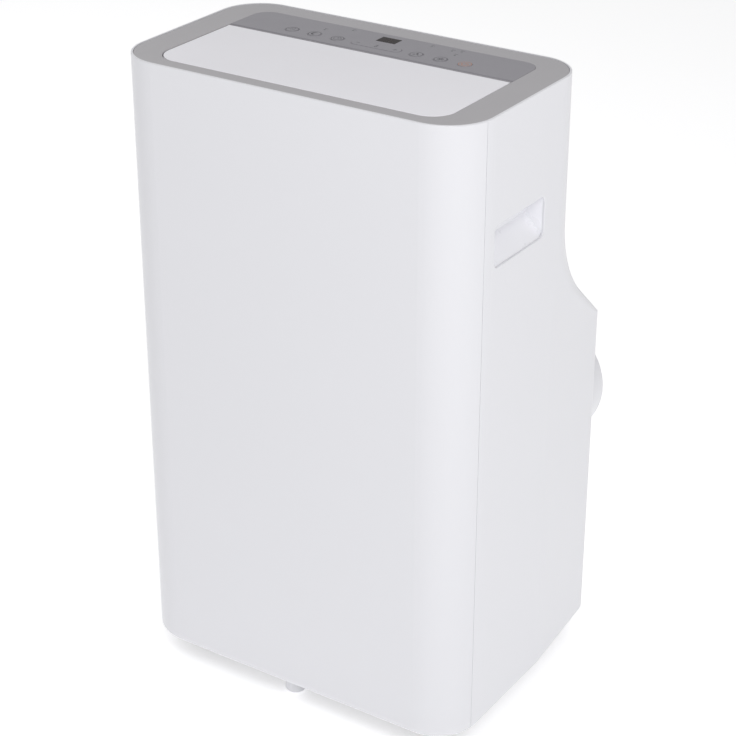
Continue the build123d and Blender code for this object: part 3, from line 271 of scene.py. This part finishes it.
# black enamel sprayed on a steel shell: glossy, with the ripple of thick paint
blackEnamel = paintedPart(
    "blackEnamel",
    {
        "light": "#17181A", "dark": "#101113", "cloud": 40.0,
        "smooth": 0.26, "rough": 0.36, "patch": 15.0, "grain": 2.2, "depth": 0.03,
    },
    {"IOR": 1.5, "Coat Weight": 0.5, "Coat Roughness": 0.12},
)


def drawnMetal(name, values):
    # metal with the fine lines of rolling or drawing along one axis
    material, tree, shader = newMaterial(name, {"Metallic": 1.0})
    point = surfacePoint(tree)
    stretch = addNode(tree, "ShaderNodeMapping", {"Scale": values["stretch"]}, {"Vector": point})
    noise = addNoise(tree, stretch.outputs["Vector"], values["line"], 3.0)
    blendTones(tree, shader, noise.outputs["Fac"], values)
    spreadRoughness(tree, shader, noise.outputs["Fac"], values)
    raiseRelief(tree, shader, noise.outputs["Fac"], values["depth"])
    return material


# aluminium fin stock: bright, with a bluish hydrophilic coating
finAluminium = drawnMetal(
    "finAluminium",
    {
        "light": "#D2D7DB", "dark": "#B8BEC4", "stretch": (1.0, 1.0, 0.1), "line": 0.8,
        "smooth": 0.3, "rough": 0.45, "depth": 0.01,
    },
)
# copper refrigerant tube, lightly tarnished
drawnCopper = drawnMetal(
    "drawnCopper",
    {
        "light": "#C98258", "dark": "#9E5F3E", "stretch": (1.0, 1.0, 0.2), "line": 3.0,
        "smooth": 0.25, "rough": 0.42, "depth": 0.01,
    },
)


def solderMask(name, values):
    # glass-epoxy board under green solder mask, with the tracks showing as raised lines
    material, tree, shader = newMaterial(name, {"IOR": 1.52, "Roughness": 0.35, "Coat Weight": 0.4})
    point = surfacePoint(tree)
    tracks = addNode(
        tree,
        "ShaderNodeTexBrick",
        {"Scale": 1 / (values["track"] * mm), "Mortar Size": 0.03},
        {"Vector": point},
    )
    tracks.inputs["Color1"].default_value = toLinear(values["light"])
    tracks.inputs["Color2"].default_value = toLinear(values["dark"])
    tracks.inputs["Mortar"].default_value = toLinear(values["edge"])
    tree.links.new(tracks.outputs["Color"], shader.inputs["Base Color"])
    addGrain(tree, shader, point, values)
    return material


boardLaminate = solderMask(
    "boardLaminate",
    {"light": "#1E5A38", "dark": "#194D30", "edge": "#123A24", "track": 9.0, "grain": 0.8, "depth": 0.01},
)


def castAcrylic(name, values):
    # acrylic: deep and wet-looking, its colour in the mass
    clearness = {"IOR": 1.49, "Transmission Weight": values["clear"], "Specular IOR Level": values["shine"]}
    return paintedPart(name, values, clearness)


smokedAcrylic = castAcrylic(
    "smokedAcrylic",
    {
        "light": "#241C1E", "dark": "#1D1618", "cloud": 12.0,
        "smooth": 0.08, "rough": 0.14, "patch": 12.0, "clear": 0.0, "shine": 0.15,
    },
)
lightPipe = castAcrylic(
    "lightPipe",
    {
        "light": "#8E9390", "dark": "#83888A", "cloud": 2.0,
        "smooth": 0.18, "rough": 0.3, "patch": 2.0, "clear": 0.2, "shine": 0.5,
    },
)


def screenInk(name, light, dark):
    # screen-printed ink: flat and dry, with a slight cloud where it dried unevenly
    values = {"light": light, "dark": dark, "cloud": 2.0, "smooth": 0.5, "rough": 0.62, "patch": 3.0}
    return paintedPart(name, values, {"IOR": 1.5})


greyInk = screenInk("greyInk", "#56555A", "#4E4D52")
orangeInk = screenInk("orangeInk", "#B98468", "#AE7A5F")
unlitInk = screenInk("unlitInk", "#372D2F", "#322A2B")

nodeMaterials = {
    casingAbs: [
        "front_cover", "rear_casing", "front_foot", "upper_grille", "lower_grille", "exhaust_collar",
    ],
    # the brighter copy of the casing ABS on the cups is painted light in the handle recess
    handlePaintedLightAbs: ["handle_cup_left", "handle_cup_right"],
    flapAbs: ["flap"],
    frameAbs: ["top_frame"],
    panelFilm: ["control_overlay"] + [name for name in nodes if name.startswith("key_")],
    smokedAcrylic: ["display_window"],
    lightPipe: ["indicator_lenses"],
    greyNylon: ["base_pan", "cord_gland"],
    blackNylon: ["outlet_duct", "vane_link", "evaporator_wheel", "condenser_wheel"]
    + [name for name in nodes if name.startswith("caster_wheel")]
    + [f"vane_{number}" for number in range(1, 7)],
    milkyPolypropylene: ["middle_deck", "flap_motor"],
    filterPolypropylene: ["upper_filter"],
    polystyreneFoam: ["evaporator_volute"],
    zincSteel: [
        "casing_screws", "vane_motor", "evaporator_motor", "condenser_motor", "condenser_volute",
        "electric_box", "electric_box_lid",
    ]
    + [name for name in nodes if name.startswith("caster_fork")],
    blackEnamel: ["compressor"],
    epdmRubber: ["compressor_grommets", "drain_cap_upper", "drain_cap_lower"],
    finAluminium: ["condenser_coil", "evaporator_coil"],
    drawnCopper: ["refrigerant_pipes"],
    boardLaminate: ["main_board", "control_board"],
}
for material, names in nodeMaterials.items():
    for name in names:
        for slot in nodes[name].material_slots:
            slot.material = material
print("materials on", sum(len(names) for names in nodeMaterials.values()), "nodes")


# mesh pieces
def addPiece(name, shape, material, body):
    bmesh.ops.recalc_face_normals(shape, faces=shape.faces)
    mesh = bpy.data.meshes.new(name)
    shape.to_mesh(mesh)
    shape.free()
    piece = bpy.data.objects.new(name, mesh)
    bpy.context.scene.collection.objects.link(piece)
    piece.data.materials.append(material)
    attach(piece, body)
    return piece


def addPrism(shape, outline, low, high):
    # a closed prism over a flat outline
    bottom = [shape.verts.new((x, y, low)) for x, y in outline]
    top = [shape.verts.new((x, y, high)) for x, y in outline]
    shape.faces.new(list(reversed(bottom)))
    shape.faces.new(top)
    count = len(outline)
    for i in range(count):
        j = (i + 1) % count
        shape.faces.new((bottom[i], bottom[j], top[j], top[i]))


def addStroke(shape, start, end, breadth, low, high):
    # a straight printed line with square ends
    along = (Vector(end) - Vector(start)).normalized() * 0.5 * breadth
    side = Vector((-along.y, along.x))
    a, b = Vector(start), Vector(end)
    addPrism(shape, [a - side, b - side, b + side, a + side], low, high)


def addArc(shape, centre, radius, breadth, first, last, low, high, steps=40):
    # a printed arc, closed when it turns right round
    full = last - first >= 360
    rims = []
    for reach in (radius - breadth / 2, radius + breadth / 2):
        for z in (low, high):
            count = steps if full else steps + 1
            rims.append(
                [
                    shape.verts.new(
                        (
                            centre[0] + reach * math.cos(math.radians(first + (last - first) * i / steps)),
                            centre[1] + reach * math.sin(math.radians(first + (last - first) * i / steps)),
                            z,
                        )
                    )
                    for i in range(count)
                ]
            )
    innerLow, innerHigh, outerLow, outerHigh = rims
    count = len(innerLow)
    for i in range(count if full else count - 1):
        j = (i + 1) % count
        shape.faces.new((innerHigh[i], outerHigh[i], outerHigh[j], innerHigh[j]))
        shape.faces.new((innerLow[j], outerLow[j], outerLow[i], innerLow[i]))
        shape.faces.new((outerLow[i], outerLow[j], outerHigh[j], outerHigh[i]))
        shape.faces.new((innerHigh[i], innerHigh[j], innerLow[j], innerLow[i]))
    if not full:
        for i, order in ((0, 1), (count - 1, -1)):
            ring = [innerLow[i], outerLow[i], outerHigh[i], innerHigh[i]]
            shape.faces.new(ring[::order])


# marks on the keys: thin ink with a ring round each key's sign
keyPrint = {"ring": 6.9, "line": 0.7, "ink": 0.03, "sunk": 0.01, "lift": 0.001, "sign": 4.2}


def moonSign(shape, x, y, size, low, high):
    outline = []
    for i in range(17):
        turn = math.radians(50 + 260 * i / 16)
        outline.append((x + size * math.cos(turn), y + size * math.sin(turn)))
    for i in range(1, 16):
        turn = math.radians(290 - 220 * i / 16)
        outline.append((x + 0.42 * size + 0.78 * size * math.cos(turn), y + 0.78 * size * math.sin(turn)))
    addPrism(shape, outline, low, high)


def clockSign(shape, x, y, size, low, high):
    line = keyPrint["line"] * mm
    addArc(shape, (x, y), size, line, 0, 360, low, high)
    addStroke(shape, (x, y - 0.1 * size), (x, y + 0.65 * size), line, low, high)
    addStroke(shape, (x, y), (x + 0.5 * size, y), line, low, high)


def louverSign(shape, x, y, size, low, high):
    line = keyPrint["line"] * mm
    for step in (-1, 0, 1):
        middle = x + step * 0.7 * size
        start, end = (middle - 0.3 * size, y - 0.5 * size), (middle + 0.1 * size, y + 0.4 * size)
        addStroke(shape, start, end, line, low, high)
    addArc(shape, (x, y + 0.1 * size), 0.95 * size, line, 35, 145, low, high, 14)


def fanSign(shape, x, y, size, low, high):
    for blade in range(3):
        turn = math.radians(90 + 120 * blade)
        outline = []
        for i in range(14):
            angle = 2 * math.pi * i / 14
            along = size * (0.58 + 0.42 * math.cos(angle))
            side = size * 0.26 * math.sin(angle)
            outline.append(
                (
                    x + along * math.cos(turn) - side * math.sin(turn),
                    y + along * math.sin(turn) + side * math.cos(turn),
                )
            )
        addPrism(shape, outline, low, high)


def flakeSign(shape, x, y, size, low, high):
    line = keyPrint["line"] * mm
    for arm in range(3):
        turn = math.radians(30 + 60 * arm)
        dx, dy = size * math.cos(turn), size * math.sin(turn)
        lift = arm * keyPrint["lift"] * mm
        addStroke(shape, (x - dx, y - dy), (x + dx, y + dy), line, low + lift, high + lift)
    for arm in range(6):
        turn = 30 + 60 * arm
        tip = (
            x + 0.98 * size * math.cos(math.radians(turn)),
            y + 0.98 * size * math.sin(math.radians(turn)),
        )
        addArc(shape, tip, 0.36 * size, 0.8 * line, turn + 125, turn + 235, low, high, 6)


def powerSign(shape, x, y, size, low, high):
    line = 1.4 * keyPrint["line"] * mm
    addArc(shape, (x, y - 0.08 * size), 0.85 * size, line, 125, 415, low, high, 30)
    addStroke(shape, (x, y + 0.1 * size), (x, y + 1.05 * size), line, low, high)


keySigns = {
    "key_swing": louverSign,
    "key_sleep": moonSign,
    "key_timer": clockSign,
    "key_fan_speed": fanSign,
    "key_mode": flakeSign,
    "key_power": powerSign,
}


def inkLayer(surface):
    # the ink's underside, sunk a little into what it is printed on, and its top
    return surface - keyPrint["sunk"] * mm, surface + keyPrint["ink"] * mm


for keyName, drawSign in keySigns.items():
    lowest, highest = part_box(keyName)
    middle = (lowest + highest) / 2
    low, high = inkLayer(highest.z)
    shape = bmesh.new()
    addArc(shape, (middle.x, middle.y), keyPrint["ring"] * mm, keyPrint["line"] * mm, 0, 360, low, high, 56)
    drawSign(shape, middle.x, middle.y, keyPrint["sign"] * mm, low, high)
    ink = orangeInk if keyName == "key_power" else greyInk
    addPiece(f"{keyName}_print", shape, ink, keyName)

# the rocker's signs: less and more at its ends, and a thermometer between them
rockerPrint = {"reach": 23.5, "arm": 2.6, "line": 0.7}
thermometer = {"bulb": 1.3, "bulbDrop": 1.6, "halfStem": 0.65, "stemDrop": 0.6, "stemTop": 2.6}
lowest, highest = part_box("key_temperature")
middle = (lowest + highest) / 2
low, high = inkLayer(highest.z)
shape = bmesh.new()
line, arm, reach = rockerPrint["line"] * mm, rockerPrint["arm"] * mm, rockerPrint["reach"] * mm
for side in (-1, 1):
    x = middle.x + side * reach
    addStroke(shape, (x - arm, middle.y), (x + arm, middle.y), line, low, high)
lift = keyPrint["lift"] * mm
plusX = middle.x + reach
addStroke(shape, (plusX, middle.y - arm), (plusX, middle.y + arm), line, low + lift, high + lift)
bulb, halfStem = thermometer["bulb"] * mm, thermometer["halfStem"] * mm
stemLow = middle.y - thermometer["stemDrop"] * mm
stemHigh = middle.y + thermometer["stemTop"] * mm
addArc(shape, (middle.x, middle.y - thermometer["bulbDrop"] * mm), bulb, line, 120, 420, low, high, 24)
for side in (-1, 1):
    x = middle.x + side * halfStem
    addStroke(shape, (x, stemLow), (x, stemHigh), line, low, high)
addArc(shape, (middle.x, stemHigh), halfStem, line, 0, 180, low, high, 10)
addPiece("key_temperature_print", shape, greyInk, "key_temperature")

# small signs beside the lenses, and the display's unlit digits
lensPrint = {"dash": 2.2, "drop": 3.6, "line": 0.7, "spread": 4.0}
overlayLow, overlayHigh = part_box("control_overlay")
shape = bmesh.new()
low, high = inkLayer(overlayHigh.z)
lensPoints = [Vector((v.co.x, v.co.y)) for v in nodes["indicator_lenses"].data.vertices]
lensPlaces = []
for point in lensPoints:
    if all((point - other).length > lensPrint["spread"] * mm for other in lensPlaces):
        lensPlaces.append(point)
for place in lensPlaces:
    near = [point for point in lensPoints if (point - place).length < lensPrint["spread"] * mm]
    x = sum(point.x for point in near) / len(near)
    y = sum(point.y for point in near) / len(near) + lensPrint["drop"] * mm
    dash = lensPrint["dash"] * mm
    addStroke(shape, (x - dash, y), (x + dash, y), lensPrint["line"] * mm, low, high)
addPiece("panel_print", shape, greyInk, "casing")

digit = {"height": 8.0, "width": 4.6, "line": 0.9, "gap": 0.5, "pitch": 7.2, "count": 2}
lowest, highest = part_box("display_window")
middle = (lowest + highest) / 2
low, high = inkLayer(highest.z)
shape = bmesh.new()
halfWide, halfTall, gap = digit["width"] * mm / 2, digit["height"] * mm / 2, digit["gap"] * mm
for number in range(digit["count"]):
    x = middle.x + (number - (digit["count"] - 1) / 2) * digit["pitch"] * mm
    for level in (-1, 0, 1):
        y = middle.y + level * halfTall
        addStroke(shape, (x - halfWide + gap, y), (x + halfWide - gap, y), digit["line"] * mm, low, high)
    for side in (-1, 1):
        for level in (0, 1):
            top = middle.y + level * halfTall
            x1 = x + side * halfWide
            addStroke(shape, (x1, top - halfTall + gap), (x1, top - gap), digit["line"] * mm, low, high)
addPiece("display_digits", shape, unlitInk, "casing")
print("printed marks done")


# fins of the two coils, and the net of the filter
def addBox(shape, low, high):
    outline = [(low[0], low[1]), (high[0], low[1]), (high[0], high[1]), (low[0], high[1])]
    addPrism(shape, outline, low[2], high[2])


fins = {"pitch": 2.4, "thickness": 0.3, "proud": 0.9, "inset": 14.0, "foot": 14.0, "endGap": 2.0}


def addFins(coilName):
    lowest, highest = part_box(coilName)
    shape = bmesh.new()
    left, right = lowest.x + fins["inset"] * mm, highest.x - fins["inset"] * mm
    count = int((right - left) / (fins["pitch"] * mm))
    for i in range(count + 1):
        x = left + (right - left) * i / count
        half = fins["thickness"] * mm / 2
        addBox(
            shape,
            (x - half, lowest.y - fins["proud"] * mm, lowest.z + fins["foot"] * mm),
            (x + half, highest.y + fins["proud"] * mm, highest.z - fins["endGap"] * mm),
        )
    addPiece(f"{coilName}_fins", shape, finAluminium, "casing")


addFins("condenser_coil")
addFins("evaporator_coil")

net = {"pitch": 1.8, "thread": 0.35, "edge": 6.5, "front": 0.9, "back": 0.55}
lowest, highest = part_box("upper_filter")
shape = bmesh.new()
edge, half = net["edge"] * mm, net["thread"] * mm / 2
y0, y1 = highest.y - net["front"] * mm, highest.y - net["back"] * mm
columns = int((highest.x - lowest.x - 2 * edge) / (net["pitch"] * mm))
rows = int((highest.z - lowest.z - 2 * edge) / (net["pitch"] * mm))
for i in range(columns + 1):
    x = lowest.x + edge + i * net["pitch"] * mm
    addBox(shape, (x - half, y0, lowest.z + edge), (x + half, y1, highest.z - edge))
for i in range(rows + 1):
    z = lowest.z + edge + i * net["pitch"] * mm
    addBox(shape, (lowest.x + edge, y0 - half, z - half), (highest.x - edge, y1 - half, z + half))
addPiece("upper_filter_net", shape, filterPolypropylene, "intake_grille")
print("fins and net done")

# stage, lights and camera
stage = {"size": 60.0, "light": "#F7F7F8", "dark": "#F4F4F5", "cloud": 900.0, "roughness": 0.8, "glow": 0.44}
shape = bmesh.new()
half = stage["size"] / 2
corners = [shape.verts.new((x * half, y * half, 0)) for x, y in ((-1, -1), (1, -1), (1, 1), (-1, 1))]
shape.faces.new(corners)
floorMesh = bpy.data.meshes.new("floor")
shape.to_mesh(floorMesh)
shape.free()
floor = bpy.data.objects.new("floor", floorMesh)
bpy.context.scene.collection.objects.link(floor)
floorPaint, floorTree, floorShader = newMaterial(
    "floorPaint",
    {
        "Roughness": stage["roughness"],
        "Emission Color": toLinear("#FFFFFF"),
        "Emission Strength": stage["glow"],
    },
)
addTone(floorTree, floorShader, surfacePoint(floorTree), stage)
floor.data.materials.append(floorPaint)

studio = {"ambient": 0.44, "sweep": 1.02}
world = bpy.data.worlds.new("studio")
bpy.context.scene.world = world
world.use_nodes = True
background = world.node_tree.nodes["Background"]
background.inputs["Color"].default_value = toLinear("#FFFFFF")
background.inputs["Strength"].default_value = studio["ambient"]
sweep = addNode(
    world.node_tree,
    "ShaderNodeBackground",
    {"Color": toLinear("#FFFFFF"), "Strength": studio["sweep"]},
)
seen = addNode(world.node_tree, "ShaderNodeLightPath")
both = addNode(
    world.node_tree,
    "ShaderNodeMixShader",
    links={
        0: seen.outputs["Is Camera Ray"],
        1: background.outputs["Background"],
        2: sweep.outputs["Background"],
    },
)
world.node_tree.links.new(both.outputs["Shader"], world.node_tree.nodes["World Output"].inputs["Surface"])

centre = Vector((sum(b) / 2 for b in zip(*cadBounds)))
lamps = {
    "keySoftbox": {"azimuth": 50.0, "elevation": 36.0, "distance": 2.4, "size": (1.1, 1.3), "power": 19.0},
    "overhead": {"azimuth": -30.0, "elevation": 75.0, "distance": 2.8, "size": (2.4, 2.4), "power": 15.0},
    "backSoftbox": {"azimuth": 247.0, "elevation": 32.0, "distance": 3.0, "size": (1.8, 2.0), "power": 9.0},
}


def around(azimuth, elevation, distance, target):
    a, e = math.radians(azimuth), math.radians(elevation)
    return target + distance * Vector((math.sin(a) * math.cos(e), -math.cos(a) * math.cos(e), math.sin(e)))


for name, lamp in lamps.items():
    light = bpy.data.lights.new(name, "AREA")
    light.shape = "RECTANGLE"
    light.size, light.size_y = lamp["size"]
    light.energy = lamp["power"]
    holder = bpy.data.objects.new(name, light)
    bpy.context.scene.collection.objects.link(holder)
    holder.location = around(lamp["azimuth"], lamp["elevation"], lamp["distance"], centre)
    holder.rotation_euler = (centre - holder.location).to_track_quat("-Z", "Y").to_euler()

viewpoint = {
    "azimuth": 33.39, "elevation": 26.86, "distance": 2.318,
    "lens": 97.8, "sensor": 36.0, "aim": (-8.6, -19.5, -10.2),
}
aim = centre + Vector(viewpoint["aim"]) * mm
camera = bpy.data.objects.new("camera", bpy.data.cameras.new("camera"))
bpy.context.scene.collection.objects.link(camera)
camera.data.lens = viewpoint["lens"]
camera.data.sensor_width = viewpoint["sensor"]
camera.location = around(viewpoint["azimuth"], viewpoint["elevation"], viewpoint["distance"], aim)
camera.rotation_euler = (math.radians(90 - viewpoint["elevation"]), 0, math.radians(viewpoint["azimuth"]))
bpy.context.scene.camera = camera
bpy.context.scene.view_settings.view_transform = "Standard"
print("stage, lights and camera done")
